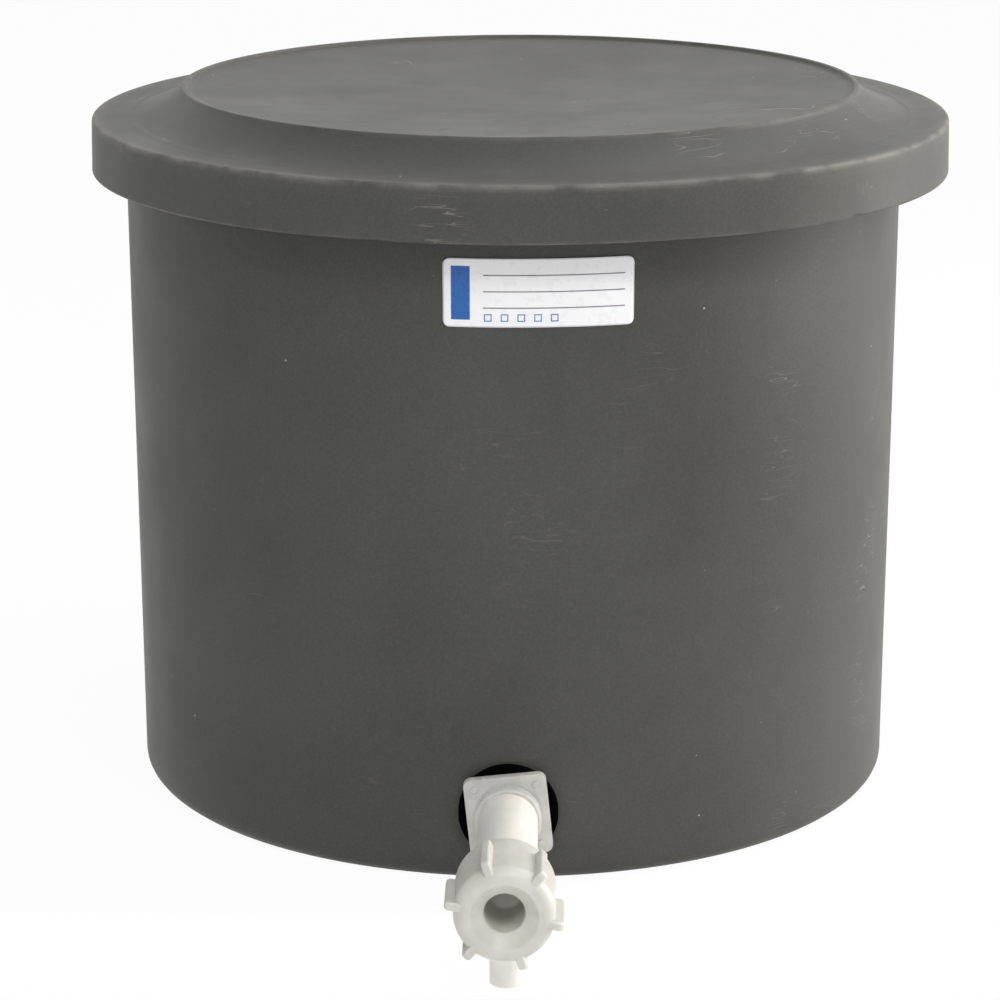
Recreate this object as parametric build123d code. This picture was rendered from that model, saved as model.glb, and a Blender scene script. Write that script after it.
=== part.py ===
from build123d import *
from math import cos, radians, tan
import os

# A round polyethylene tank with a loose lid and a screw-down spigot low on its wall.
# The origin is the centre of the tank's flat underside, +Z is up, and the spigot points along -Y.
# Lengths are in millimetres. Places along the spigot are distances in front of the tank's wall.

# Tank, a thin shell with a slight draft
base_radius = 177.8
wall_draft_degrees = 0.34
tank_height = 308.8
tank_wall = 4.0
tank_floor = 4.0
bottom_corner = 7.8
rim_overhang = 10.37
rim_thickness = 5.5
rim_edge_rounding = 1.8
rim_root_rounding = 3.0

# Lid, one moulding with an even wall, pushed to one side in its loose fit
lid_wall = 4.0
lid_seat_gap = 0.1
skirt_gap = 3.6
skirt_length = 24.9
skirt_draft = 1.1
brim_width = 16.5
riser_run = 24.0
riser_rise = 11.8
riser_sag = 2.2
rim_bead_width = 3.6
rim_bead_height = 1.4
dish_depth = 6.0
lid_edge_rounding = 2.2
skirt_edge_rounding = 1.3
lid_shift = 3.2

# Label, a thin skin on the wall
label_width = 81.0
label_height = 29.5
label_thickness = 0.25
label_corner = 3.0
label_drop = 44.5
label_turn_degrees = 4.15
label_glue = 0.3

# Spigot: where its axis crosses the wall
tap_height = 33.5

# Wall fitting and its seals
shank_radius = 13.2
shank_bore = 7.5
wall_hole_clearance = 0.4
thread_clearance = 0.1
overcut = 1.0
gasket_radius = 21.8
gasket_thickness = 3.0
curved_seat_gap = 0.1
flange_side = 36.1
flange_thickness = 4.0
flange_corner = 3.5
flange_turn_degrees = 6.0
stud_radius = 1.7
stud_height = 0.8
stud_inset = 4.6
stud_taper_degrees = 25.0
boss_radius = 14.65
boss_length = 7.0
boss_rounding = 1.0
inner_washer_thickness = 3.5
nut_across_flats = 38.0
nut_thickness = 9.0
nut_chamfer = 1.2
nut_chamfer_run = 2.4
shank_end = 3.0

# Barrel and spout, one moulding
tail_radius = 10.0
tail_clearance = 0.1
tail_end_gap = 0.2
tail_rounding = 0.5
tail_socket_depth = 10.0
tail_seal_section = 1.1
tail_seal_place = 5.0
barrel_radius = 13.0
barrel_length = 96.0
chamber_radius = 10.3
seat_place = 66.0
seat_wall = 4.0
seat_land = 2.0
seat_land_width = 1.7
port_radius = 5.5
port_lead = 2.0
spout_radius = 6.9
spout_root_radius = 7.6
spout_straight_top = 6.0
spout_bore = 4.75
spout_place = 76.0
spout_reach = 14.6
spout_tip_rounding = 1.0
mouth_chamfer = 0.8

# Stopper: the jumper and its rubber face
seat_gap = 0.3
washer_radius = 8.2
washer_thickness = 2.5
washer_hole = 1.7
jumper_clearance = 0.1
jumper_lip = 0.8
jumper_lip_depth = 1.2
jumper_disc = 3.0
jumper_rounding = 0.6
nib_length = 1.6
stem_radius = 3.0
stem_root_rounding = 1.0
stem_reach = 5.0
stem_head_radius = 3.6
stem_head_length = 1.2
stem_head_rounding = 0.5
stem_gap = 0.3
plunger_stand_off = 9.7

# Knob with its plunger
plunger_clearance = 0.3
plunger_back_chamfer = 1.0
plunger_root_rounding = 0.8
bore_radius = 8.4
bore_depth = 31.5
bore_rounding = 1.5
bore_floor_rounding = 1.5
plunger_seal_section = 1.15
seal_running_gap = 0.05
seal_groove_gap = 0.05
plunger_seal_place = 4.5
knob_radius = 20.9
knob_length = 37.5
knob_front_rounding = 6.0
knob_back_rounding = 3.0
knob_bore_clearance = 0.8
knob_bore_rounding = 0.5
knob_end_gap = 1.2
spout_to_knob = 2.1
face_dish_width = 5.8
face_crest_rounding = 1.2
face_dish_depth = 5.5
face_fall = 0.5
rib_count = 6
rib_turn_degrees = 49.0
rib_width = 3.8
rib_height = 3.8
rib_root = 3.0
rib_back = 9.5
rib_front = 1.0
rib_corner = 2.4
rib_edge = 1.0


def outer_radius(height):
    """The wall's outer radius at a height, with its draft."""
    return base_radius + height * tan(radians(wall_draft_degrees))


# Places worked out from the driving dimensions
wall_y = -outer_radius(tap_height)
rim_radius = outer_radius(tank_height) + rim_overhang
rim_under = tank_height - rim_thickness
skirt_radius = rim_radius + skirt_gap + lid_wall
brim_top = tank_height + lid_seat_gap + lid_wall
skirt_bottom = brim_top - skirt_length
label_middle = tank_height - label_drop
riser_foot = skirt_radius - brim_width
riser_head = riser_foot - riser_run
flange_front = gasket_thickness + flange_thickness
boss_front = flange_front + boss_length
washer_back = tank_wall + inner_washer_thickness
shank_back = washer_back + nut_thickness + shank_end
barrel_front = boss_front + barrel_length
tail_back = boss_front - tail_socket_depth + tail_end_gap
chamber_back = seat_place - seat_land
jumper_face = seat_place + seat_gap + washer_thickness
jumper_front = jumper_face + jumper_disc
plunger_back = jumper_front + plunger_stand_off
plunger_radius = chamber_radius - plunger_clearance
knob_back = spout_place + spout_radius + spout_to_knob
knob_front = knob_back + knob_length
knob_bore = barrel_radius + knob_bore_clearance
stem_end = plunger_back + stem_reach


def outlined(corners):
    """A flat face from corners given as a point and a rounding radius."""
    face = make_face(Polyline(*[point for point, rounding in corners], close=True))
    for point, rounding in corners:
        if rounding > 0:
            face = fillet(face.vertices().sort_by_distance(point)[:1], rounding)
    return face


def upright(corners):
    """Solid turned about the tank's axis from corners of radius, height and rounding."""
    face = outlined([((radius, 0, height), rounding) for radius, height, rounding in corners])
    return revolve(face, Axis.Z)


def turned(corners):
    """Solid turned about the spigot's axis from corners of radius, distance and rounding."""
    face = outlined([((r, wall_y - ahead, tap_height), rounding) for r, ahead, rounding in corners])
    return revolve(face, Axis((0, wall_y, tap_height), (0, 1, 0)))


def tube(inner, outer, back, front):
    """Plain ring about the spigot's axis."""
    return turned([(inner, back, 0), (outer, back, 0), (outer, front, 0), (inner, front, 0)])


def rod(radius, back, front):
    """Plain rod about the spigot's axis."""
    return tube(0, radius, back, front)


def seal_ring(radius, section, place):
    """A round-section rubber ring about the spigot's axis."""
    centre = Location((0, wall_y - place, tap_height), (90, 0, 0))
    return centre * Torus(radius, section)


def facing(distance):
    """Plane square to the spigot, seen from the front, at a distance before the wall."""
    return Plane(origin=(0, wall_y - distance, tap_height), x_dir=(1, 0, 0), z_dir=(0, -1, 0))


def make_tank_shell():
    """Floor, drafted wall and rim flange in one moulding, with the spigot's hole."""
    inside_top = outer_radius(tank_height) - tank_wall
    inside_bottom = outer_radius(tank_floor) - tank_wall
    shell = upright([
        (0, 0, 0),
        (base_radius, 0, bottom_corner),
        (outer_radius(rim_under), rim_under, rim_root_rounding),
        (rim_radius, rim_under, rim_edge_rounding),
        (rim_radius, tank_height, rim_edge_rounding),
        (inside_top, tank_height, rim_edge_rounding),
        (inside_bottom, tank_floor, bottom_corner - tank_wall),
        (0, tank_floor, 0),
    ])
    hole_radius = shank_radius + wall_hole_clearance
    return shell - rod(hole_radius, -2 * tank_wall, tank_wall)


def make_lid():
    """Skirt, brim, concave riser, rim bead and shallow dish, all of one wall."""
    bead_base = brim_top + riser_rise
    bead_top = bead_base + rim_bead_height
    dish_edge = riser_head - rim_bead_width
    mid_radius = (riser_foot + riser_head) / 2
    mid_height = brim_top + riser_rise / 2
    slope = (riser_run ** 2 + riser_rise ** 2) ** 0.5
    sag = (riser_sag * riser_rise / slope, riser_sag * riser_run / slope)

    def profile(radius, height):
        return (radius, 0, height)

    under = lid_wall
    top_riser = ThreePointArc(
        profile(riser_foot, brim_top),
        profile(mid_radius - sag[0], mid_height - sag[1]),
        profile(riser_head, bead_base))
    bead = Polyline(
        profile(riser_head, bead_base), profile(riser_head - rim_bead_height / 2, bead_top),
        profile(dish_edge + rim_bead_height / 2, bead_top), profile(dish_edge, bead_base))
    dish = Bezier(
        profile(dish_edge, bead_base), profile(dish_edge / 2, bead_base - dish_depth),
        profile(0, bead_base - dish_depth))
    middle = Line(profile(0, bead_base - dish_depth), profile(0, bead_base - dish_depth - under))
    dish_under = Bezier(
        profile(0, bead_base - dish_depth - under),
        profile(dish_edge / 2, bead_base - dish_depth - under),
        profile(dish_edge, bead_base - under))
    riser_under = ThreePointArc(
        profile(dish_edge, bead_base - under),
        profile(mid_radius - sag[0] - under / 2, mid_height - sag[1] - under),
        profile(riser_foot - under / 2, brim_top - under))
    skirt = Polyline(
        profile(riser_foot - under / 2, brim_top - under),
        profile(skirt_radius - under, brim_top - under),
        profile(skirt_radius + skirt_draft - under, skirt_bottom),
        profile(skirt_radius + skirt_draft, skirt_bottom),
        profile(skirt_radius, brim_top),
        profile(riser_foot, brim_top))
    face = make_face([top_riser, bead, dish, middle, dish_under, riser_under, skirt])
    corners = [
        (profile(skirt_radius, brim_top), lid_edge_rounding),
        (profile(skirt_radius + skirt_draft, skirt_bottom), skirt_edge_rounding),
        (profile(skirt_radius + skirt_draft - under, skirt_bottom), skirt_edge_rounding),
        (profile(riser_head - rim_bead_height / 2, bead_top), rim_bead_height / 2),
        (profile(dish_edge + rim_bead_height / 2, bead_top), rim_bead_height / 2),
    ]
    for point, rounding in corners:
        face = fillet(face.vertices().sort_by_distance(point)[:1], rounding)
    return Pos(lid_shift, 0, 0) * revolve(face, Axis.Z)


def make_label():
    """A thin skin that follows the wall, cut to a rectangle with round corners."""
    low, high = label_middle - label_height, label_middle + label_height
    skin = upright([
        (outer_radius(low) + label_glue, low, 0),
        (outer_radius(low) + label_glue + label_thickness, low, 0),
        (outer_radius(high) + label_glue + label_thickness, high, 0),
        (outer_radius(high) + label_glue, high, 0),
    ])
    window = Plane(origin=(0, 0, label_middle), x_dir=(1, 0, 0), z_dir=(0, -1, 0))
    cutter = extrude(window * RectangleRounded(label_width, label_height, label_corner), 2 * base_radius)
    return skin & (Rot(0, 0, label_turn_degrees) * cutter)


def wall_solid(inset):
    """The tank's outer form as a plain cone, moved in or out by an inset."""
    return upright([
        (0, 0, 0),
        (outer_radius(0) + inset, 0, 0),
        (outer_radius(tank_height) + inset, tank_height, 0),
        (0, tank_height, 0),
    ])


def make_outer_gasket():
    """Rubber washer, flat in front, bent to the wall behind, and slipped up in its loose fit."""
    blank = tube(shank_radius + wall_hole_clearance, gasket_radius, -tank_wall, gasket_thickness)
    return blank - wall_solid(curved_seat_gap)


def make_inner_washer():
    """Rubber washer inside the tank, bent to the wall in front and flat behind."""
    blank = tube(shank_radius + wall_hole_clearance, gasket_radius, -washer_back, 0)
    return blank & wall_solid(-tank_wall - curved_seat_gap)


def make_wall_fitting():
    """Square flange with corner studs, round boss and shank, with a stepped bore."""
    square = RectangleRounded(flange_side, flange_side, flange_corner)
    turn = Rot(0, 0, flange_turn_degrees)
    flange = extrude(facing(gasket_thickness) * turn * square, flange_thickness)
    boss = turned([
        (0, gasket_thickness, 0), (boss_radius, gasket_thickness, 0),
        (boss_radius, boss_front, boss_rounding), (0, boss_front, 0)])
    shank = rod(shank_radius, -shank_back, flange_front)
    fitting = flange + boss + shank
    spread = flange_side - 2 * stud_inset
    for place in GridLocations(spread, spread, 2, 2):
        stud = facing(flange_front) * turn * place * Circle(stud_radius)
        fitting += extrude(stud, stud_height, taper=stud_taper_degrees)
    socket = rod(tail_radius + tail_clearance, boss_front - tail_socket_depth, boss_front + overcut)
    return fitting - rod(shank_bore, -shank_back - overcut, boss_front) - socket


def make_lock_nut():
    """Hexagon nut on the shank, inside the tank."""
    hexagon = RegularPolygon(nut_across_flats / 2, 6, major_radius=False)
    nut = extrude(facing(-washer_back) * hexagon, -nut_thickness)
    corner_radius = nut_across_flats / 2 / cos(radians(30))
    chamfered = turned([
        (0, -washer_back, 0), (corner_radius + overcut, -washer_back, 0),
        (corner_radius + overcut, nut_chamfer - washer_back - nut_thickness, 0),
        (corner_radius - nut_chamfer_run, -washer_back - nut_thickness, 0),
        (0, -washer_back - nut_thickness, 0)])
    return (nut & chamfered) - rod(shank_radius + thread_clearance, -shank_back, 0)


def make_spigot_body():
    """Barrel with tail, seat, chamber and a spout straight down."""
    seal_place = boss_front - tail_seal_place
    groove = tail_seal_section + seal_groove_gap
    outside = turned([
        (0, tail_back, 0), (tail_radius, tail_back, tail_rounding),
        (tail_radius, boss_front, 0), (barrel_radius, boss_front, 0),
        (barrel_radius, barrel_front, mouth_chamfer), (0, barrel_front, 0)])
    outside -= tube(tail_radius - 2 * tail_seal_section, tail_radius + overcut,
                    seal_place - groove, seal_place + groove)
    spout_axis = Pos(0, wall_y - spout_place, 0)
    spout = spout_axis * upright([
        (0, -spout_reach, 0), (spout_radius, -spout_reach, spout_tip_rounding),
        (spout_radius, spout_straight_top, 0), (spout_root_radius, tap_height, 0), (0, tap_height, 0)])
    body = outside + spout
    body -= turned([
        (0, tail_back - overcut, 0), (shank_bore, tail_back - overcut, 0),
        (shank_bore, chamber_back - seat_wall, 0),
        (port_radius, chamber_back - seat_wall + port_lead, 0),
        (port_radius, seat_place, 0),
        (port_radius + seat_land_width, seat_place, 0), (port_radius + seat_land_width, chamber_back, 0),
        (chamber_radius, chamber_back, 0), (chamber_radius, barrel_front - mouth_chamfer, 0),
        (chamber_radius + mouth_chamfer, barrel_front, 0), (0, barrel_front, 0)])
    bore = spout_axis * upright([
        (0, -spout_reach - overcut, 0), (spout_bore, -spout_reach - overcut, 0),
        (spout_bore, tap_height, 0), (0, tap_height, 0)])
    return body - bore


def make_seat_washer():
    """Rubber face of the stopper."""
    return tube(washer_hole, washer_radius, seat_place + seat_gap, jumper_face)


def make_seat_jumper():
    """Cup for the rubber face, with a stem whose head the plunger holds."""
    cup_radius = washer_radius + jumper_clearance
    nib = washer_hole - jumper_clearance
    lip_back = jumper_face - jumper_lip_depth
    return turned([
        (0, jumper_face - nib_length, 0), (nib, jumper_face - nib_length, 0), (nib, jumper_face, 0),
        (cup_radius, jumper_face, 0), (cup_radius, lip_back, 0),
        (cup_radius + jumper_lip, lip_back, 0),
        (cup_radius + jumper_lip, jumper_front, jumper_rounding),
        (stem_radius, jumper_front, stem_root_rounding),
        (stem_radius, stem_end - stem_head_length, 0),
        (stem_head_radius, stem_end - stem_head_length, 0),
        (stem_head_radius, stem_end, stem_head_rounding),
        (0, stem_end, 0)])


def make_hand_knob():
    """Ribbed knob, hollow plunger and open front bore in one moulding."""
    bore_end = knob_front - bore_depth
    groove_middle = plunger_back + plunger_seal_place
    groove_floor = plunger_radius + plunger_clearance - seal_running_gap - 2 * plunger_seal_section
    groove_half = plunger_seal_section + seal_groove_gap
    crest = bore_radius + face_dish_width
    socket_back = stem_end - stem_head_length - stem_gap
    socket_front = stem_end + stem_gap
    knob = turned([
        (stem_radius + stem_gap, plunger_back, 0),
        (plunger_radius, plunger_back, plunger_back_chamfer),
        (plunger_radius, barrel_front + knob_end_gap, plunger_root_rounding),
        (knob_bore, barrel_front + knob_end_gap, plunger_root_rounding),
        (knob_bore, knob_back, knob_bore_rounding),
        (knob_radius, knob_back, knob_back_rounding),
        (knob_radius, knob_front - face_fall, knob_front_rounding),
        (crest, knob_front, face_crest_rounding),
        (bore_radius, knob_front - face_dish_depth, bore_rounding),
        (bore_radius, bore_end, bore_floor_rounding),
        (0, bore_end, 0),
        (0, socket_front, 0),
        (stem_head_radius + stem_gap, socket_front, 0),
        (stem_head_radius + stem_gap, socket_back, 0),
        (stem_radius + stem_gap, socket_back, 0)])
    knob -= tube(groove_floor - seal_groove_gap, plunger_radius + overcut,
                 groove_middle - groove_half, groove_middle + groove_half)
    length = knob_length - rib_back - rib_front
    depth = rib_root + rib_height
    blank = Pos(knob_radius - rib_root + depth / 2, 0, 0) * Box(depth, rib_width, length)
    tips = blank.edges().filter_by(Axis.Y).group_by(Axis.X)[-1]
    blank = fillet(tips, rib_corner)
    blank = fillet(blank.faces().sort_by(Axis.X)[-1].edges().filter_by(Axis.Z), rib_edge)
    middle = facing(knob_back + rib_back + length / 2).location
    for number in range(rib_count):
        turn = rib_turn_degrees + number * 360 / rib_count
        knob += middle * Rot(0, 0, turn) * blank
    return knob


def make_tail_o_ring():
    """Seal between the fitting and the barrel's tail."""
    return seal_ring(tail_radius - tail_seal_section, tail_seal_section, boss_front - tail_seal_place)


def make_plunger_o_ring():
    """Seal round the plunger, running in the chamber."""
    ring_radius = chamber_radius - seal_running_gap - plunger_seal_section
    return seal_ring(ring_radius, plunger_seal_section, plunger_back + plunger_seal_place)


makers = {
    "tank_shell": make_tank_shell,
    "lid": make_lid,
    "label": make_label,
    "outer_gasket": make_outer_gasket,
    "wall_fitting": make_wall_fitting,
    "inner_washer": make_inner_washer,
    "lock_nut": make_lock_nut,
    "spigot_body": make_spigot_body,
    "tail_o_ring": make_tail_o_ring,
    "seat_washer": make_seat_washer,
    "seat_jumper": make_seat_jumper,
    "hand_knob": make_hand_knob,
    "plunger_o_ring": make_plunger_o_ring,
}

os.makedirs("parts", exist_ok=True)
for name, make in makers.items():
    piece = make()
    export_step(piece, f"parts/{name}.step")
    box = piece.bounding_box()
    print(name, "volume", round(piece.volume, 1), "low", box.min, "high", box.max)
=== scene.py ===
# %% [markdown]
# # A polyethylene tank with a spigot
# The object is a plain round tank, moulded in grey polyethylene, under a loose lid, with a pale
# plastic spigot low on its wall. Nearly everything on it is turned: a profile carried round an
# axis. So this lesson builds its surfaces as grids worked out with numpy, one function each, and
# spends most of its care on how dull plastic catches light, and on the small faults of moulding.

# %% Load the frame
import bmesh
import bpy
import numpy as np
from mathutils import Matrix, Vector


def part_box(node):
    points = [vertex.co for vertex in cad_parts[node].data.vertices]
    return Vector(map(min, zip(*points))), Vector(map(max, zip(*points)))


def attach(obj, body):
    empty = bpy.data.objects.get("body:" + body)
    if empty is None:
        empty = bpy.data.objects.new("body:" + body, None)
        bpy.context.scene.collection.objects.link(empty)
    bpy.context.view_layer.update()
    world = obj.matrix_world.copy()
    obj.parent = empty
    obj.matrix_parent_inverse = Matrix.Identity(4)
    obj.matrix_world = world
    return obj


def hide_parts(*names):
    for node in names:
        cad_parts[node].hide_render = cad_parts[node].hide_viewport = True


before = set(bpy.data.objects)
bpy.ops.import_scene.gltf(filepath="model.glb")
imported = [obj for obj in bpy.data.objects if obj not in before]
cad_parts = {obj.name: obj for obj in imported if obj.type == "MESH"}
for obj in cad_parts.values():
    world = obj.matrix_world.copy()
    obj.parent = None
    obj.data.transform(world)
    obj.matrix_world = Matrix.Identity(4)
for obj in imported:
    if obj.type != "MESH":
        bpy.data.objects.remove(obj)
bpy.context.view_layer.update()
MM = 0.001

# %% [markdown]
# ## Camera first
# The picture was taken from a little over a metre and a half away, looking down on the lid by
# fifteen degrees. A long lens keeps the tank's sides almost parallel, and that closeness of the
# two ellipses of lid and base is the first thing an eye compares.

# %% Camera
CAMERA_DISTANCE = 1602.1 * MM
CAMERA_HEIGHT = 569.1 * MM
CAMERA_PITCH = np.radians(15.5)
CAMERA_AZIMUTH = np.radians(0.7)
AIM_SHIFT = -0.01337
LENS_MM = 125.07

camera_data = bpy.data.cameras.new("camera")
camera_data.lens = LENS_MM
camera_data.sensor_width = 36.0
camera_data.clip_end = 50.0
camera_data.shift_x = AIM_SHIFT
camera = bpy.data.objects.new("camera", camera_data)
bpy.context.scene.collection.objects.link(camera)
camera.location = (
    CAMERA_DISTANCE * np.sin(CAMERA_AZIMUTH),
    -CAMERA_DISTANCE * np.cos(CAMERA_AZIMUTH),
    CAMERA_HEIGHT,
)
camera.rotation_euler = (np.pi / 2 - CAMERA_PITCH, 0, CAMERA_AZIMUTH)
bpy.context.scene.camera = camera
print("camera stands", round(CAMERA_DISTANCE, 3), "m from the tank's axis")

# %% [markdown]
# ## Sizes
# The frame gives the box of each part. What a box can't say, such as the wall's draft or the
# radius of a rounding, is named here once, and the surfaces below are worked out from it.

# %% Sizes from the frame and from the drawing
_, tank_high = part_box("tank_shell")
lid_low, lid_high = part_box("lid")
label_low, label_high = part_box("label")
gasket_low, gasket_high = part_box("outer_gasket")

DRAFT = np.tan(np.radians(0.34))
BASE_RADIUS = 177.8 * MM
WALL = 4.0 * MM
BOTTOM_CORNER = 7.8 * MM
RIM_THICKNESS = 5.5 * MM
TANK_TOP = tank_high.z
RIM_RADIUS = tank_high.x

SKIRT_DRAFT = 1.1 * MM
SKIRT_RADIUS = (lid_high.x - lid_low.x) / 2 - SKIRT_DRAFT
LID_SHIFT = (lid_high.x + lid_low.x) / 2
LID_WALL = 4.0 * MM
BRIM_TOP = TANK_TOP + 0.1 * MM + LID_WALL
BRIM_WIDTH = 16.5 * MM
RISER_RUN = 24.0 * MM
RISER_RISE = 11.8 * MM
RISER_SAG = 2.2 * MM
BEAD_WIDTH = 3.6 * MM
BEAD_HEIGHT = 1.4 * MM
DISH_DEPTH = 6.0 * MM

TAP_HEIGHT = (gasket_low.z + gasket_high.z) / 2
WALL_FACE = -(BASE_RADIUS + TAP_HEIGHT * DRAFT)
print("tank top", round(TANK_TOP, 4), "spigot's height", round(TAP_HEIGHT, 4))

# %% [markdown]
# ## Profiles and grids
# A turned piece starts as a row of corners, each with a rounding. `rounded` replaces each corner
# by an arc, and `spread` adds points along the straight stretches, so that small moulding faults
# have points to move. `grid_piece` then turns an array of points, one row per angle, into a mesh.

# %% Profile helpers
def rounded(corners, arc_points=7):
    """A path through corners (a, b, rounding). Each rounding is an arc tangent to both runs. Its
    centre lies on the line that halves the corner, and its points come from turning the radius
    at the arc's start towards the radius at its end in even steps."""
    corners = [np.array(c, float) for c in corners]
    path = [corners[0][:2]]
    for before, here, after in zip(corners, corners[1:], corners[2:]):
        radius = here[2]
        if radius <= 0:
            path.append(here[:2])
            continue
        back = (before - here)[:2] / np.linalg.norm((before - here)[:2])
        ahead = (after - here)[:2] / np.linalg.norm((after - here)[:2])
        half = np.arccos(np.clip(back @ ahead, -1, 1)) / 2
        centre = here[:2] + (back + ahead) / np.linalg.norm(back + ahead) * radius / np.sin(half)
        start = here[:2] + back * radius / np.tan(half) - centre
        end = here[:2] + ahead * radius / np.tan(half) - centre
        turn = np.pi - 2 * half
        steps = np.linspace(0, 1, arc_points)[:, None]
        arc = (np.sin((1 - steps) * turn) * start + np.sin(steps * turn) * end) / np.sin(turn)
        path.extend(centre + arc)
    path.append(corners[-1][:2])
    return np.array(path)


def spread(path, step):
    """The same path with extra points, so that none lie further apart than the step. Both
    coordinates are read off the old path at even distances along it."""
    lengths = np.linalg.norm(np.diff(path, axis=0), axis=1)
    keep = np.concatenate([[True], lengths > 1e-9])
    path = path[keep]
    along = np.concatenate([[0], np.cumsum(lengths[lengths > 1e-9])])
    more = np.unique(np.round(np.concatenate([along, np.arange(0, along[-1], step)]), 7))
    return np.stack([np.interp(more, along, path[:, k]) for k in (0, 1)], axis=1)


# %% Grid helpers
def grid_piece(name, points, round_first=True, round_second=False):
    """A mesh from an array of points (rows, columns, 3). A round direction joins its two ends.
    Coinciding points, as at a pole, are merged, and the faces are turned outwards."""
    rows, columns = points.shape[:2]
    index = np.arange(rows * columns).reshape(rows, columns)
    if round_first:
        index = np.concatenate([index, index[:1]], axis=0)
    if round_second:
        index = np.concatenate([index, index[:, :1]], axis=1)
    quads = np.stack([index[:-1, :-1], index[1:, :-1], index[1:, 1:], index[:-1, 1:]], axis=-1)
    mesh = bpy.data.meshes.new(name)
    mesh.from_pydata(points.reshape(-1, 3).tolist(), [], quads.reshape(-1, 4).tolist())
    work = bmesh.new()
    work.from_mesh(mesh)
    bmesh.ops.remove_doubles(work, verts=work.verts, dist=1e-6)
    bmesh.ops.recalc_face_normals(work, faces=work.faces)
    work.to_mesh(mesh)
    work.free()
    mesh.shade_smooth()
    piece = bpy.data.objects.new(name, mesh)
    bpy.context.scene.collection.objects.link(piece)
    open_edges = sum(1 for use in np.bincount(mesh_edge_use(mesh)) if use == 1)
    print(name, len(mesh.polygons), "faces, open edges", open_edges)
    return piece


def mesh_edge_use(mesh):
    """The edge number of every face corner, to count how many faces use each edge."""
    edges = np.zeros(len(mesh.loops), np.int32)
    mesh.loops.foreach_get("edge_index", edges)
    return edges


STILL_RADIUS = 20 * MM


def turned(name, profile, angles, shift=0.0, wobble=None):
    """A profile of radius and height carried round the Z axis: x is the radius times the angle's
    cosine, and y the radius times its sine. The wobble is a change of radius by angle and height,
    and it fades out towards the axis, from the still radius inwards."""
    radius, height = profile[:, 0][None, :], profile[:, 1][None, :]
    angle = angles[:, None]
    if wobble is not None:
        radius = radius + wobble(angle, height) * np.minimum(1, radius / STILL_RADIUS)
    points = np.stack(np.broadcast_arrays(
        shift + radius * np.cos(angle), radius * np.sin(angle), height + 0 * angle), axis=-1)
    return grid_piece(name, points)


def around(count):
    """Even angles once round, without the last one, which would repeat the first."""
    return np.linspace(0, 2 * np.pi, count, endpoint=False)


def hermite(value):
    """0 below 0, 1 above 1, and between them three squares less two cubes, a smooth rise."""
    value = np.clip(value, 0, 1)
    return value * value * (3 - 2 * value)


def put_attribute(piece, name, values):
    """One number for each point of the mesh, for a material to read."""
    layer = piece.data.attributes.new(name, "FLOAT", "POINT")
    layer.data.foreach_set("value", values.astype(np.float32))


def mesh_points(piece):
    """The mesh's points as an array of rows x, y, z."""
    flat = np.zeros(3 * len(piece.data.vertices))
    piece.data.vertices.foreach_get("co", flat)
    return flat.reshape(-1, 3)


# %% [markdown]
# ## The side that is handled
# A tank that is carried and slid about is scratched more on one side. That could be painted by
# hand, but a number on each point of the mesh, worked out from the point's angle, does the same
# and stays true when the shape changes. The grey material reads it and shows more scratches there.

# %% The side that is handled
HANDLED_FROM, HANDLED_TO = 0.35, 1.9
HANDLED_RISE, HANDLED_FALL = 0.5, 0.4


def handled_side(piece):
    """1 on the right of the front, where hands and walls have rubbed, fading to 0 elsewhere: a
    smooth rise times a smooth fall, by the angle in radians from the front to the right."""
    points = mesh_points(piece)
    turn = np.arctan2(points[:, 0], -points[:, 1])
    rise = hermite((turn - HANDLED_FROM) / HANDLED_RISE)
    return rise * hermite((HANDLED_TO - turn) / HANDLED_FALL)


# %% [markdown]
# ## Tank wall
# The tank is one thin moulding: a floor, a wall that leans out by a third of a degree so that it
# leaves its mould, and a flange at the top. A cylinder primitive would be too perfect. Here the
# whole section, outside and inside, is one closed profile carried round the axis, and a few slow
# waves draw the wall inwards by under half a millimetre, as cooling does. A highlight that runs
# down the wall then bends a little, which is what says plastic. A boolean cuts the spigot's hole.

# %% Tank wall, its section
WAVE_DEPTH = 0.45 * MM
WALL_ANGLES = 288
PROFILE_STEP = 7.0 * MM
FLANGE_EDGE = 1.8 * MM
FLANGE_ROOT = 3.0 * MM
HOLE_RADIUS = 13.6 * MM


def wall_radius(height):
    """The wall's outer radius at a height: the base radius plus the draft's share."""
    return BASE_RADIUS + height * DRAFT


def cooling_waves(angle, height):
    """A sum of sines round and up the wall, all of it inwards, from 0 to the wave depth."""
    swing = np.sin(2 * angle + 0.7) + 0.7 * np.sin(3 * angle - 9 * height)
    swing = swing + 0.5 * np.sin(5 * angle + 2.1)
    swing = swing + 0.4 * np.sin(7 * angle + 23 * height + 1.3)
    swing = swing + 0.3 * np.sin(31 * height + 2 * angle)
    full_swing = 2 * (1 + 0.7 + 0.5 + 0.4 + 0.3)
    return -WAVE_DEPTH * (0.5 + swing / full_swing)


def tank_profile():
    """Corners of the whole section, from the axis under the floor, round, and back to the axis."""
    under_rim = TANK_TOP - RIM_THICKNESS
    section = rounded([
        (0, 0, 0), (BASE_RADIUS, 0, BOTTOM_CORNER),
        (wall_radius(under_rim), under_rim, FLANGE_ROOT),
        (RIM_RADIUS, under_rim, FLANGE_EDGE), (RIM_RADIUS, TANK_TOP, FLANGE_EDGE),
        (wall_radius(TANK_TOP) - WALL, TANK_TOP, FLANGE_EDGE),
        (wall_radius(WALL) - WALL, WALL, BOTTOM_CORNER - WALL), (0, WALL, 0)])
    return spread(section, PROFILE_STEP)


# %% Tank wall, turned and cut
tank_wall = turned("tank_wall", tank_profile(), around(WALL_ANGLES), wobble=cooling_waves)
put_attribute(tank_wall, "wear", np.zeros(len(tank_wall.data.vertices)))


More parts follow.
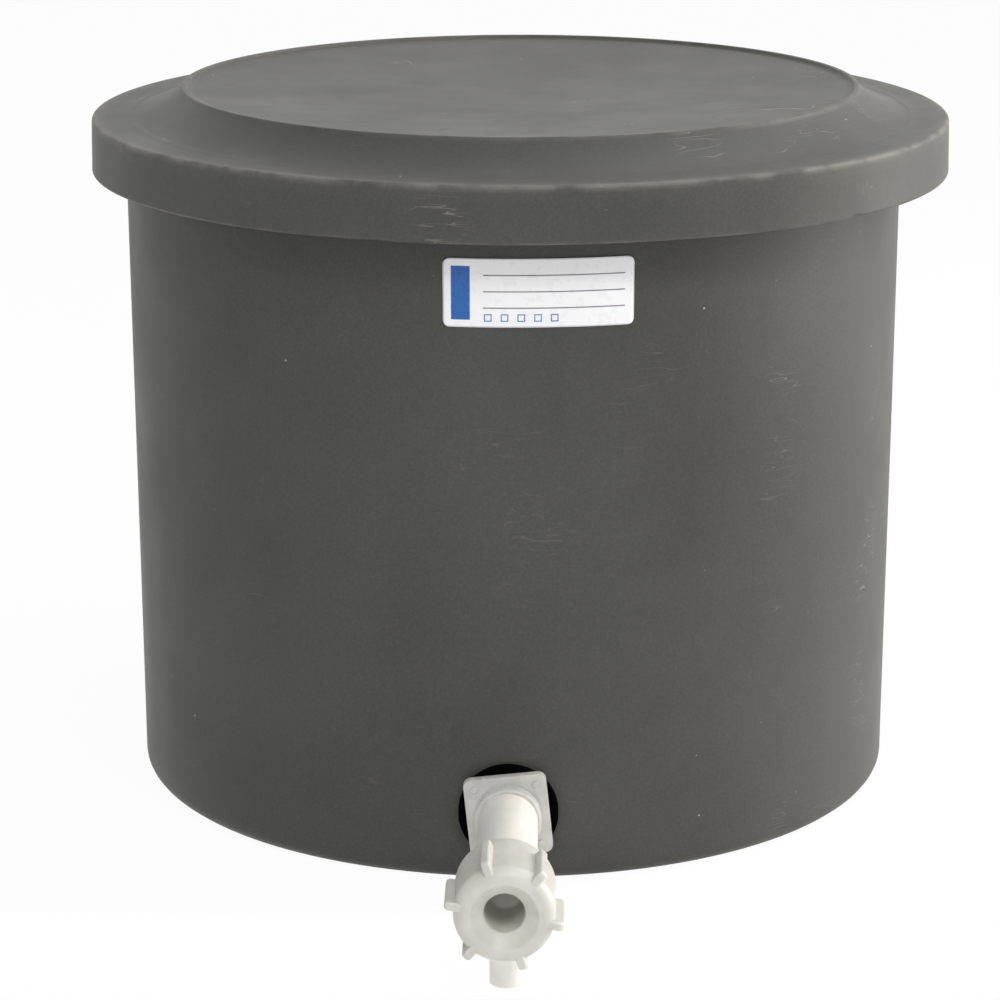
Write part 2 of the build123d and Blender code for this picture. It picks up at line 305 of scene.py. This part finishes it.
def cut_round_hole(piece, radius, start, end):
    """Cuts a hole along Y at the spigot's height, with an exact boolean that is then applied."""
    bpy.ops.mesh.primitive_cylinder_add(
        vertices=96, radius=radius, depth=abs(end - start), rotation=(np.pi / 2, 0, 0),
        location=(0, (start + end) / 2, TAP_HEIGHT))
    cutter = bpy.context.object
    cut = piece.modifiers.new("hole", "BOOLEAN")
    cut.object = cutter
    cut.solver = "EXACT"
    bpy.context.view_layer.update()
    ready = bpy.context.evaluated_depsgraph_get()
    carved = bpy.data.meshes.new_from_object(piece.evaluated_get(ready))
    piece.modifiers.clear()
    piece.data = carved
    bpy.data.objects.remove(cutter)


cut_round_hole(tank_wall, HOLE_RADIUS, WALL_FACE - 3 * WALL, WALL_FACE + 3 * WALL)
put_attribute(tank_wall, "handled", handled_side(tank_wall))
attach(tank_wall, "tank")
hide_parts("tank_shell")

# %% [markdown]
# ## Lid
# The lid is one even sheet: a skirt, a flat brim, a hollow riser, a thin bead and a shallow dish.
# A lathe profile is the natural way again, with Bezier curves for the dish and the riser, because
# their bend changes along the way as no single arc's does.

# %% Lid, its sizes
LID_ANGLES = 320
DISH_POINTS = 46
BRIM_EDGE = 1.7 * MM
HEM_EDGE = 1.3 * MM
FOOT_RING_RADIUS = 180.4 * MM
FOOT_RING_HEIGHT = 0.35 * MM
FOOT_RING_WIDTH = 0.7 * MM
RISER_POINTS = 16
LID_STEP = 5.0 * MM
SKIRT_SWAY = 0.7 * MM
HEM_BOTTOM = lid_low.z
RISER_FOOT = SKIRT_RADIUS - BRIM_WIDTH
RISER_HEAD = RISER_FOOT - RISER_RUN
BEAD_BASE = BRIM_TOP + RISER_RISE
DISH_EDGE = RISER_HEAD - BEAD_WIDTH
print("brim top", round(BRIM_TOP, 4), "bead's foot", round(BEAD_BASE, 4))


# %% Lid, its section
def quadratic(start, bend, end, count):
    """A Bezier curve of second order. At the share t of the way, the start counts for the square
    of what is left, the end for the square of t, and the bend point for the rest."""
    t = np.linspace(0, 1, count)[:, None]
    start, bend, end = np.array(start), np.array(bend), np.array(end)
    return (1 - t) ** 2 * start + 2 * t * (1 - t) * bend + t ** 2 * end


def lid_profile():
    """The section from the dish's middle, out over the brim, down the skirt and back under."""
    slope = np.hypot(RISER_RUN, RISER_RISE)
    bend = np.array([(RISER_FOOT + RISER_HEAD) / 2, BRIM_TOP + RISER_RISE / 2])
    bend = bend - 2 * RISER_SAG * np.array([RISER_RISE, RISER_RUN]) / slope
    dish = quadratic((0, BEAD_BASE - DISH_DEPTH), (DISH_EDGE / 2, BEAD_BASE - DISH_DEPTH),
                     (DISH_EDGE, BEAD_BASE), DISH_POINTS)
    bead = rounded([
        (DISH_EDGE, BEAD_BASE, 0),
        (DISH_EDGE + BEAD_HEIGHT / 2, BEAD_BASE + BEAD_HEIGHT, BEAD_HEIGHT / 2),
        (RISER_HEAD - BEAD_HEIGHT / 2, BEAD_BASE + BEAD_HEIGHT, BEAD_HEIGHT / 2),
        (RISER_HEAD, BEAD_BASE, 0)], arc_points=5)
    riser = quadratic((RISER_HEAD, BEAD_BASE), bend, (RISER_FOOT, BRIM_TOP), RISER_POINTS)
    outside = rounded([
        (RISER_FOOT, BRIM_TOP, 0), (SKIRT_RADIUS, BRIM_TOP, BRIM_EDGE),
        (SKIRT_RADIUS + SKIRT_DRAFT, HEM_BOTTOM, HEM_EDGE),
        (SKIRT_RADIUS + SKIRT_DRAFT - LID_WALL, HEM_BOTTOM, HEM_EDGE),
        (SKIRT_RADIUS - LID_WALL, BRIM_TOP - LID_WALL, 0),
        (RISER_FOOT - LID_WALL / 2, BRIM_TOP - LID_WALL, 0)], arc_points=9)
    below = np.concatenate([riser[::-1] - (LID_WALL / 2, LID_WALL), dish[::-1] - (0, LID_WALL)])
    section = spread(np.concatenate([dish, bead, riser, outside, below]), LID_STEP)
    ring = np.exp(-((section[:, 0] - FOOT_RING_RADIUS) / FOOT_RING_WIDTH) ** 2)
    on_top = np.arange(len(section)) < len(section) / 2
    section[:, 1] += FOOT_RING_HEIGHT * ring * on_top
    return section


def lid_sway(angle, height):
    """The skirt is a little out of round: two sines round it, growing from brim to hem."""
    low = hermite((BRIM_TOP - height) / (BRIM_TOP - HEM_BOTTOM))
    return -SKIRT_SWAY * low * (0.5 + 0.3 * np.sin(2 * angle + 1.1) + 0.2 * np.sin(3 * angle))


# %% [markdown]
# ## The lid's hem and its worn edges
# What makes it a real lid is its hem: the trimmed edge of the skirt is never quite level, has a
# torn stretch of flash and a small chip, and every corner that can rub is paler. A boolean could
# cut a chip, but moving the hem's own points keeps the mesh clean. The corners that rub are marked
# with a number on each point, which the material reads.

# %% The lid's hem
HEM_WAVE = 0.35 * MM
FLASH_DEPTH = 0.5 * MM
FLASH_FROM, FLASH_TO, FLASH_FADE = -0.44, -0.24, 0.03
CHIP_DEPTH = 1.1 * MM
CHIP_PLACE, CHIP_WIDTH = 0.823, 0.012
HEM_ZONE = 3 * MM


def hem_wander(angle):
    """How far the trimmed edge strays up: slow waves, a torn stretch of flash and one chip.
    Their places are angles in radians from the front, growing to the right."""
    front = np.mod(angle + np.pi / 2 + np.pi, 2 * np.pi) - np.pi
    slow = HEM_WAVE * (0.5 + 0.3 * np.sin(4 * angle + 0.4) + 0.2 * np.sin(9 * angle))
    torn = hermite((front - FLASH_FROM) / FLASH_FADE) * hermite((FLASH_TO - front) / FLASH_FADE)
    ragged = 0.5 + 0.5 * np.sin(97 * angle) * np.sin(151 * angle + 1)
    chip = np.exp(-((front - CHIP_PLACE) / CHIP_WIDTH) ** 2)
    return slow + FLASH_DEPTH * torn * ragged + CHIP_DEPTH * chip


# %% Lid, turned and trimmed
lid_cover = turned("lid_cover", lid_profile(), around(LID_ANGLES), LID_SHIFT, lid_sway)
points = mesh_points(lid_cover)
angle = np.arctan2(points[:, 1], points[:, 0] - LID_SHIFT)
out = np.hypot(points[:, 0] - LID_SHIFT, points[:, 1])
near_hem = hermite((HEM_BOTTOM + HEM_ZONE - points[:, 2]) / HEM_ZONE)
near_hem = near_hem * (out > SKIRT_RADIUS - 2 * LID_WALL)
points[:, 2] += hem_wander(angle) * near_hem
lid_cover.data.vertices.foreach_set("co", points.ravel())


# %% Lid, its worn edges
def near_ring(radius, height, width):
    """1 on a ring of the lid at that radius and height. It fades as a bell curve of the distance
    from the ring, over the width."""
    return np.exp(-((out - radius) ** 2 + (points[:, 2] - height) ** 2) / width ** 2)


# Each edge that rubs: its radius, height, width of wear, and how worn it is.
rubbed_edges = (
    (SKIRT_RADIUS - 0.5 * MM, BRIM_TOP, 2.0 * MM, 0.5),
    (SKIRT_RADIUS + SKIRT_DRAFT, HEM_BOTTOM, 1.0 * MM, 0.6),
    (RISER_HEAD - BEAD_WIDTH / 2, BEAD_BASE + BEAD_HEIGHT, 1.8 * MM, 0.25),
)
rubbed = sum(near_ring(*edge) * worn for *edge, worn in rubbed_edges)
print("points on worn edges", int(np.sum(rubbed > 0.2)))
put_attribute(lid_cover, "wear", np.clip(rubbed, 0, 1))
put_attribute(lid_cover, "handled", handled_side(lid_cover))
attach(lid_cover, "tank")
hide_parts("lid")

# %% [markdown]
# ## Label
# A printed film lies on the wall, so its shape is a patch of the wall's own cone: every point is
# given by an angle and a height, a hair's breadth outside the plastic. Its corners are round
# because each row of points is as wide as the corner's arc allows at that height. The distance
# across and up from the label's middle goes with each point, for the print to be drawn from.

# %% Label film
LABEL_WIDTH = 81.0 * MM
LABEL_HEIGHT = label_high.z - label_low.z
LABEL_MIDDLE = (label_high.z + label_low.z) / 2
LABEL_CORNER = 3.0 * MM
LABEL_TURN = np.radians(4.15)
LABEL_BACK = 0.3 * MM
LABEL_FILM = 0.25 * MM


def label_points(rows=41, columns=61):
    """Front points left to right, then back points right to left, so that each row is a loop.
    Rows lie closer at the ends, by a sine. A row in a corner is shorter by what a circle of the
    corner's radius has lost at that height."""
    rise = np.sin(np.linspace(-np.pi / 2, np.pi / 2, rows))[:, None] * LABEL_HEIGHT / 2
    past = np.clip(np.abs(rise) - (LABEL_HEIGHT / 2 - LABEL_CORNER), 0, LABEL_CORNER)
    half = LABEL_WIDTH / 2 - LABEL_CORNER + np.sqrt(LABEL_CORNER ** 2 - past ** 2)
    across = half * np.linspace(-1, 1, columns)[None, :]
    inner = wall_radius(LABEL_MIDDLE + rise) + LABEL_BACK + 0 * across
    film = LABEL_FILM * (np.abs(rise) < LABEL_HEIGHT / 2 - 1e-6)
    layers = []
    for radius, side in ((inner + film, across), (inner, across[:, ::-1])):
        turn = side / wall_radius(LABEL_MIDDLE) + LABEL_TURN
        layers.append(np.stack([radius * np.sin(turn), -radius * np.cos(turn),
                                LABEL_MIDDLE + rise + 0 * side], axis=-1))
    return np.concatenate(layers, axis=1)


label_film = grid_piece("label_film", label_points(), round_first=False, round_second=True)
points = mesh_points(label_film)
turn = np.arctan2(points[:, 0], -points[:, 1]) - LABEL_TURN
put_attribute(label_film, "across", turn * wall_radius(LABEL_MIDDLE) / MM)
put_attribute(label_film, "up", (points[:, 2] - LABEL_MIDDLE) / MM)
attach(label_film, "tank")
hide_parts("label")

# %% [markdown]
# ## Materials
# Dull moulded plastic is never one colour. Each material here starts from one shader and lays
# faint clouds, dust and marks over it. Images could do that, but patterns of noise need no file
# and have no seam. They read Object coordinates, so they stay in place when the part moves.

# %% A short way to write node trees
def linear(*levels):
    """A screen colour of 0 to 255 a channel as the linear colour that a shader takes."""
    share = np.array(levels, float) / 255
    value = np.where(share <= 0.04045, share / 12.92, ((share + 0.055) / 1.055) ** 2.4)
    return (*[float(v) for v in value], 1.0)


class Finish:
    """One material, with short calls that add nodes and join them."""

    def __init__(self, name, colour, roughness):
        self.material = bpy.data.materials.new(name)
        self.material.use_nodes = True
        self.tree = self.material.node_tree
        self.shader = self.tree.nodes["Principled BSDF"]
        self.shader.inputs["Base Color"].default_value = colour
        self.shader.inputs["Roughness"].default_value = roughness
        self.place = self.tree.nodes.new("ShaderNodeTexCoord").outputs["Object"]

    def node(self, kind, sockets=None, **settings):
        """Adds a node, sets its options, and sets or joins its sockets by name or number."""
        new = self.tree.nodes.new(kind)
        for key, value in settings.items():
            setattr(new, key, value)
        for key, value in (sockets or {}).items():
            if isinstance(value, bpy.types.NodeSocket):
                self.tree.links.new(value, new.inputs[key])
            else:
                new.inputs[key].default_value = value
        return new

    def noise(self, scale, detail=3.0, stretch=(1, 1, 1), shift=(0, 0, 0)):
        """Cloudy noise from 0 to 1, in patches of about 1 / scale metres."""
        place = self.node("ShaderNodeMapping", {
            "Vector": self.place, "Scale": stretch, "Location": shift})
        cloud = self.node("ShaderNodeTexNoise", {
            "Vector": place.outputs[0], "Scale": scale, "Detail": detail, "Roughness": 0.55})
        return cloud.outputs["Fac"]

    def between(self, value, low, high, start=0.0, end=1.0):
        """The value, taken from low..high to start..end, smoothly and without overshoot."""
        sockets = {0: value, 1: low, 2: high, 3: start, 4: end}
        return self.node("ShaderNodeMapRange", sockets, interpolation_type="SMOOTHSTEP").outputs[0]

    def math(self, operation, first, second=0.0):
        """One sum or product of two values."""
        return self.node("ShaderNodeMath", {0: first, 1: second}, operation=operation).outputs[0]

    def tint(self, factor, under, over):
        """One colour laid over another by a factor."""
        sockets = {0: factor, 6: under, 7: over}
        return self.node("ShaderNodeMix", sockets, data_type="RGBA").outputs[2]

    def attribute(self, name):
        """A number stored on the mesh, such as how exposed an edge is to wear."""
        return self.node("ShaderNodeAttribute", attribute_name=name).outputs["Fac"]

    def specks(self, spacing, size, share):
        """Round dots, 1 inside and 0 outside, in a random share of cells of that spacing."""
        cells = self.node("ShaderNodeTexVoronoi", {"Vector": self.place, "Scale": 1 / spacing})
        dot = self.between(cells.outputs["Distance"], size / spacing, 0.6 * size / spacing)
        chosen = self.node("ShaderNodeSeparateColor", {0: cells.outputs["Color"]}).outputs[0]
        return self.math("MULTIPLY", dot, self.math("LESS_THAN", chosen, share))

    def scratches(self, spacing, width, along, cover):
        """Fine broken lines: thin contours of a stretched noise, kept only in patches."""
        wave = self.noise(1 / spacing, 1.0, stretch=along)
        line = self.between(self.math("ABSOLUTE", self.math("SUBTRACT", wave, 0.5)), width, 0.0)
        cloud = self.noise(0.6 / spacing, 2.0, shift=(3, 1, 2))
        patch = self.between(cloud, 1 - cover, 1.15 - cover)
        return self.math("MULTIPLY", line, patch)

    def finish(self, colour=None, roughness=None, height=None, depth=0.1 * MM, strength=0.3):
        """Joins colour, roughness and relief to the shader and returns the material."""
        if colour is not None:
            self.tree.links.new(colour, self.shader.inputs["Base Color"])
        if roughness is not None:
            self.tree.links.new(roughness, self.shader.inputs["Roughness"])
        if height is not None:
            relief = self.node("ShaderNodeBump", {
                "Height": height, "Strength": strength, "Distance": depth})
            self.tree.links.new(relief.outputs[0], self.shader.inputs["Normal"])
        return self.material


# %% [markdown]
# ## Grey polyethylene
# The tank and its lid have a faint cloudiness, pale dust specks, and hair-fine scratches that show
# white, most of them on the side that is handled. The gloss is a broad, soft highlight with a fine
# grain in it, so the roughness stays near a half and a very shallow bump breaks it up. The lid is
# a little paler and takes more scratches than the wall.

# %% Grey polyethylene
TANK_GREY = linear(69, 69, 66)
LID_GREY = linear(72, 72, 68)
PALE_SCUFF = linear(176, 172, 164)
DUST = linear(205, 200, 188)
CLOUD_DEPTH = 0.12
GRAIN_SHARE = 0.035
HANDLED_EXTRA = 2.5
WORN_SHARE = 0.55
DUST_SHARE = 0.7


def grey_polyethylene(name, colour, scuff):
    """Cloudy grey, dust specks, fine scratches, pale worn edges and a grainy soft gloss."""
    paint = Finish(name, colour, 0.5)
    paint.shader.inputs["Specular IOR Level"].default_value = 0.26
    dark = tuple((1 - CLOUD_DEPTH) * channel for channel in colour[:3]) + (1.0,)
    light = tuple((1 + CLOUD_DEPTH) * channel for channel in colour[:3]) + (1.0,)
    cloud = paint.between(paint.noise(9.0, 4.0), 0.3, 0.7)
    tone = paint.tint(cloud, dark, light)
    grain = paint.between(paint.noise(900.0, 2.0), 0.35, 0.75)
    tone = paint.tint(paint.math("MULTIPLY", grain, GRAIN_SHARE), tone, PALE_SCUFF)
    level = paint.scratches(30 * MM, 0.012, along=(1, 1, 9), cover=0.42)
    upright = paint.scratches(20 * MM, 0.01, along=(9, 9, 1), cover=0.36)
    marks = paint.math("MULTIPLY", paint.math("MAXIMUM", level, upright), scuff)
    extra = paint.math("MULTIPLY", paint.attribute("handled"), HANDLED_EXTRA)
    marks = paint.math("MULTIPLY", marks, paint.math("ADD", extra, 1.0))
    tone = paint.tint(marks, tone, PALE_SCUFF)
    broken = paint.between(paint.noise(60.0, 4.0), 0.3, 0.6)
    worn = paint.math("MULTIPLY", paint.attribute("wear"), broken)
    tone = paint.tint(paint.math("MULTIPLY", worn, WORN_SHARE), tone, PALE_SCUFF)
    dust = paint.specks(spacing=16 * MM, size=0.6 * MM, share=0.3)
    tone = paint.tint(paint.math("MULTIPLY", dust, DUST_SHARE), tone, DUST)
    rough = paint.between(paint.noise(30.0, 4.0), 0.2, 0.8, 0.44, 0.52)
    rough = paint.math("ADD", rough, paint.math("MULTIPLY", marks, 0.2))
    ripple = paint.math("MULTIPLY", paint.noise(90.0, 2.0), 1.5)
    relief = paint.math("ADD", paint.noise(500.0, 2.0), ripple)
    return paint.finish(tone, rough, relief, depth=0.06 * MM, strength=0.25)


tank_grey = grey_polyethylene("tank_grey_polyethylene", TANK_GREY, 0.1)
lid_grey = grey_polyethylene("lid_grey_polyethylene", LID_GREY, 0.36)
print("greys", len(tank_grey.node_tree.nodes), "nodes each")

# %% [markdown]
# ## Pale plastics
# Spigot, knob and fitting are unpigmented plastic: milky, with light that goes in and comes out
# nearby, which softens every edge. Real transmission would show the parts inside as through glass.
# A share of subsurface scattering, three millimetres deep, gives the milkiness and costs little.

# %% Pale plastics
def pale_plastic(name, colour, soft, roughness, milky):
    """Milky moulded plastic: light scatters inside it, over a satin skin with faint flow marks."""
    paint = Finish(name, colour, roughness)
    paint.shader.inputs["Subsurface Weight"].default_value = milky
    paint.shader.inputs["Subsurface Radius"].default_value = (1.0, 0.95, 0.85)
    paint.shader.inputs["Subsurface Scale"].default_value = 3.0 * MM
    flow = paint.between(paint.noise(120.0, 3.0, stretch=(1, 0.4, 1)), 0.3, 0.7)
    tone = paint.tint(flow, colour, soft)
    dust = paint.specks(spacing=7 * MM, size=0.3 * MM, share=0.12)
    tone = paint.tint(paint.math("MULTIPLY", dust, 0.4), tone, DUST)
    rough = paint.between(paint.noise(200.0, 2.0), 0.2, 0.8, roughness - 0.05, roughness + 0.08)
    return paint.finish(tone, rough, paint.noise(700.0, 2.0), depth=0.05 * MM, strength=0.25)


knob_white = pale_plastic(
    "knob_milky_plastic", linear(212, 210, 205), linear(203, 201, 194), 0.38, 0.35)
spigot_white = pale_plastic(
    "spigot_milky_plastic", linear(240, 238, 233), linear(232, 230, 224), 0.36, 0.25)
natural_plastic = pale_plastic(
    "natural_clear_plastic", linear(206, 205, 201), linear(192, 191, 187), 0.3, 0.3)
print("pale plastics", knob_white.name, spigot_white.name, natural_plastic.name)

# %% [markdown]
# ## Black rubber
# The seals are nearly black and hardly shine. Pure black would look like a hole, so the rubber
# keeps a trace of grain and of gloss.

# %% Black rubber
def black_rubber():
    """Near-black rubber with a fine grain and a dull sheen."""
    paint = Finish("black_rubber", linear(2, 2, 2), 0.8)
    paint.shader.inputs["Specular IOR Level"].default_value = 0.03
    grain = paint.noise(1200.0, 3.0)
    tone = paint.tint(paint.between(grain, 0.4, 0.8), linear(1, 1, 1), linear(5, 5, 5))
    return paint.finish(tone, None, grain, depth=0.05 * MM, strength=0.3)


rubber = black_rubber()
print("rubber", rubber.name)

# %% [markdown]
# ## Printed label
# The label is white film with a plain print: a blue band down its left end, three grey rules to
# write on, and a row of small blue boxes to tick. Drawn in the material, the print needs no picture
# and stays sharp at any distance. Each mark is a rectangle, which is 1 where the point's distance
# from the mark's middle is under half its size, across and up.

# %% Printed label
PRINT_BLUE = linear(24, 92, 168)
PRINT_GREY = linear(110, 100, 124)
FILM_WHITE = linear(242, 242, 244)
FILM_RIM = linear(206, 208, 212)
FILM_BORDER = 1.2
MARK_SOFTNESS = 0.08
BAND_PLACE, BAND_WIDTH, BAND_HEIGHT = -33.0, 8.0, 23.0
RULE_PLACE, RULE_LENGTH, RULE_WIDTH = 6.5, 60.0, 0.5
RULE_HEIGHTS = (7.6, 0.6, -6.4)
TICK_BOXES, TICK_FIRST, TICK_PITCH, TICK_HEIGHT = 5, -21.5, 7.0, -10.6
TICK_OUTSIDE, TICK_INSIDE = 3.2, 2.3


def printed_film():
    """White film, with marks placed in millimetres from the label's middle."""
    paint = Finish("printed_film", FILM_WHITE, 0.3)
    across, up = paint.attribute("across"), paint.attribute("up")

    def box_mark(x, y, width, height):
        """1 inside a rectangle and 0 outside it, with a thin soft edge."""
        sides = []
        for value, middle, size in ((across, x, width), (up, y, height)):
            away = paint.math("ABSOLUTE", paint.math("SUBTRACT", value, middle))
            sides.append(paint.between(away, size / 2 + MARK_SOFTNESS, size / 2 - MARK_SOFTNESS))
        return paint.math("MULTIPLY", *sides)

    inside = box_mark(0.0, 0.0, LABEL_WIDTH / MM - FILM_BORDER, LABEL_HEIGHT / MM - FILM_BORDER)
    tone = paint.tint(inside, FILM_RIM, FILM_WHITE)
    tone = paint.tint(box_mark(BAND_PLACE, 0.0, BAND_WIDTH, BAND_HEIGHT), tone, PRINT_BLUE)
    for row in RULE_HEIGHTS:
        tone = paint.tint(box_mark(RULE_PLACE, row, RULE_LENGTH, RULE_WIDTH), tone, PRINT_GREY)
    for column in range(TICK_BOXES):
        place = TICK_FIRST + TICK_PITCH * column
        outline = box_mark(place, TICK_HEIGHT, TICK_OUTSIDE, TICK_OUTSIDE)
        hollow = box_mark(place, TICK_HEIGHT, TICK_INSIDE, TICK_INSIDE)
        tone = paint.tint(paint.math("SUBTRACT", outline, hollow), tone, PRINT_BLUE)
    rough = paint.between(paint.noise(300.0, 2.0), 0.2, 0.8, 0.24, 0.36)
    return paint.finish(tone, rough, paint.noise(90.0, 2.0), depth=0.05 * MM, strength=0.15)


label_print = printed_film()
print("materials", [material.name for material in bpy.data.materials])

# %% [markdown]
# ## Dress the parts that keep their own shape
# The seals, the nut and the stopper are hidden or plain. The fitting, the barrel and the knob were
# drawn with all their roundings, so a new mesh would add nothing. They all keep the shape they
# came with and only get a finish.

# %% Finishes on carried-over parts
for piece, material in ((tank_wall, tank_grey), (lid_cover, lid_grey), (label_film, label_print)):
    piece.data.materials.clear()
    piece.data.materials.append(material)

finishes = {
    "outer_gasket": rubber, "inner_washer": rubber, "tail_o_ring": rubber,
    "seat_washer": rubber, "plunger_o_ring": rubber,
    "wall_fitting": natural_plastic, "lock_nut": spigot_white,
    "spigot_body": spigot_white, "seat_jumper": spigot_white, "hand_knob": knob_white,
}
for name, material in finishes.items():
    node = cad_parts[name]
    node.data.materials.clear()
    node.data.materials.append(material)
print("dressed", len(finishes), "parts")

# %% [markdown]
# ## Stage
# The tank stands near the edge of a white plinth, because its spout hangs below its base. The
# stage is white to the camera and in reflections, but only a plain white surface to all other
# light, so that it doesn't flood the object.

# %% Stage
PLINTH_EDGE = -0.215
PLINTH_DROP = 0.12
FLOOR_SIZE = 16.0
WHITE = linear(254, 254, 254)
GLOW_SHARE = 0.95


def stage_white():
    """White to the camera, with a share of real shading so that the object's shadow stays."""
    paint = Finish("stage_white", WHITE, 0.9)
    path = paint.node("ShaderNodeLightPath")
    plain = paint.node("ShaderNodeBsdfDiffuse", {"Color": WHITE})
    glow = paint.node("ShaderNodeEmission", {"Color": (1, 1, 1, 1), "Strength": 1.0})
    seen = paint.math("MAXIMUM", path.outputs["Is Camera Ray"], path.outputs["Is Glossy Ray"])
    share = paint.math("MULTIPLY", seen, GLOW_SHARE)
    mixed = paint.node("ShaderNodeMixShader", {0: share, 1: plain.outputs[0], 2: glow.outputs[0]})
    output = paint.tree.nodes["Material Output"]
    paint.tree.links.new(mixed.outputs[0], output.inputs["Surface"])
    return paint.material


def stage_plane(name, front, back, low, high):
    """One flat stage face as wide as the floor, from its front and back Y and its two heights."""
    half = FLOOR_SIZE / 2
    corners = [(-half, front, low), (half, front, low), (half, back, high), (-half, back, high)]
    mesh = bpy.data.meshes.new(name)
    mesh.from_pydata(corners, [], [(0, 1, 2, 3)])
    plane = bpy.data.objects.new(name, mesh)
    bpy.context.scene.collection.objects.link(plane)
    mesh.materials.append(white_stage)
    return plane


white_stage = stage_white()
stage_plane("plinth_top", PLINTH_EDGE, FLOOR_SIZE / 2, 0, 0)
stage_plane("plinth_front", PLINTH_EDGE, PLINTH_EDGE, -PLINTH_DROP, 0)
stage_plane("lower_floor", -FLOOR_SIZE / 2, PLINTH_EDGE, -PLINTH_DROP, -PLINTH_DROP)
print("stage", FLOOR_SIZE, "m wide")

# %% [markdown]
# ## Light
# A soft lamp overhead lights the lid, and a tall, warm one on the right draws the pale band down
# that side of the wall. Two in front, one high and one low, keep the shadow under the lid and open
# up the knob's hollow. The room around gives the rest, and the camera sees it as white.

# %% Lamps and world
WARM_LIGHT = (1.0, 0.95, 0.91)
ROOM_STRENGTH = 0.42
SEEN_STRENGTH = 1.0


def soft_lamp(name, place, target, size, power, colour=(1, 1, 1)):
    """A square-on area lamp: its place, what it faces, its width and height, power and colour."""
    data = bpy.data.lights.new(name, "AREA")
    data.shape = "RECTANGLE"
    data.size, data.size_y = size
    data.energy = power
    data.color = colour
    lamp = bpy.data.objects.new(name, data)
    bpy.context.scene.collection.objects.link(lamp)
    lamp.location = place
    lamp.rotation_euler = (Vector(target) - Vector(place)).to_track_quat("-Z", "Y").to_euler()
    return lamp


soft_lamp("overhead", (0.7, 0.5, 1.5), (0, 0.05, 0.3), (1.2, 1.2), 5.0)
soft_lamp("right_side", (1.45, 0.25, 0.65), (0.1, 0, 0.2), (0.9, 1.2), 25.0, WARM_LIGHT)
soft_lamp("front_top", (0.35, -1.35, 1.6), (0, -0.1, 0.1), (1.3, 0.45), 14.0)
soft_lamp("front_low", (-0.1, -1.9, 0.45), (0, -0.1, 0.05), (0.9, 0.5), 3.0)

world = bpy.data.worlds.new("pale_room")
bpy.context.scene.world = world
world.use_nodes = True
room = world.node_tree
ground = room.nodes["Background"]
ground.inputs["Color"].default_value = (1, 1, 1, 1)
seen_by = room.nodes.new("ShaderNodeLightPath")
strength = room.nodes.new("ShaderNodeMapRange")
strength.inputs[3].default_value = ROOM_STRENGTH
strength.inputs[4].default_value = SEEN_STRENGTH
seen = room.nodes.new("ShaderNodeMath")
seen.operation = "MAXIMUM"
room.links.new(seen_by.outputs["Is Camera Ray"], seen.inputs[0])
room.links.new(seen_by.outputs["Is Glossy Ray"], seen.inputs[1])
room.links.new(seen.outputs[0], strength.inputs[0])
room.links.new(strength.outputs[0], ground.inputs["Strength"])
print("lamps", [light.name for light in bpy.data.lights])
bpy.context.scene.view_settings.view_transform = "Standard"
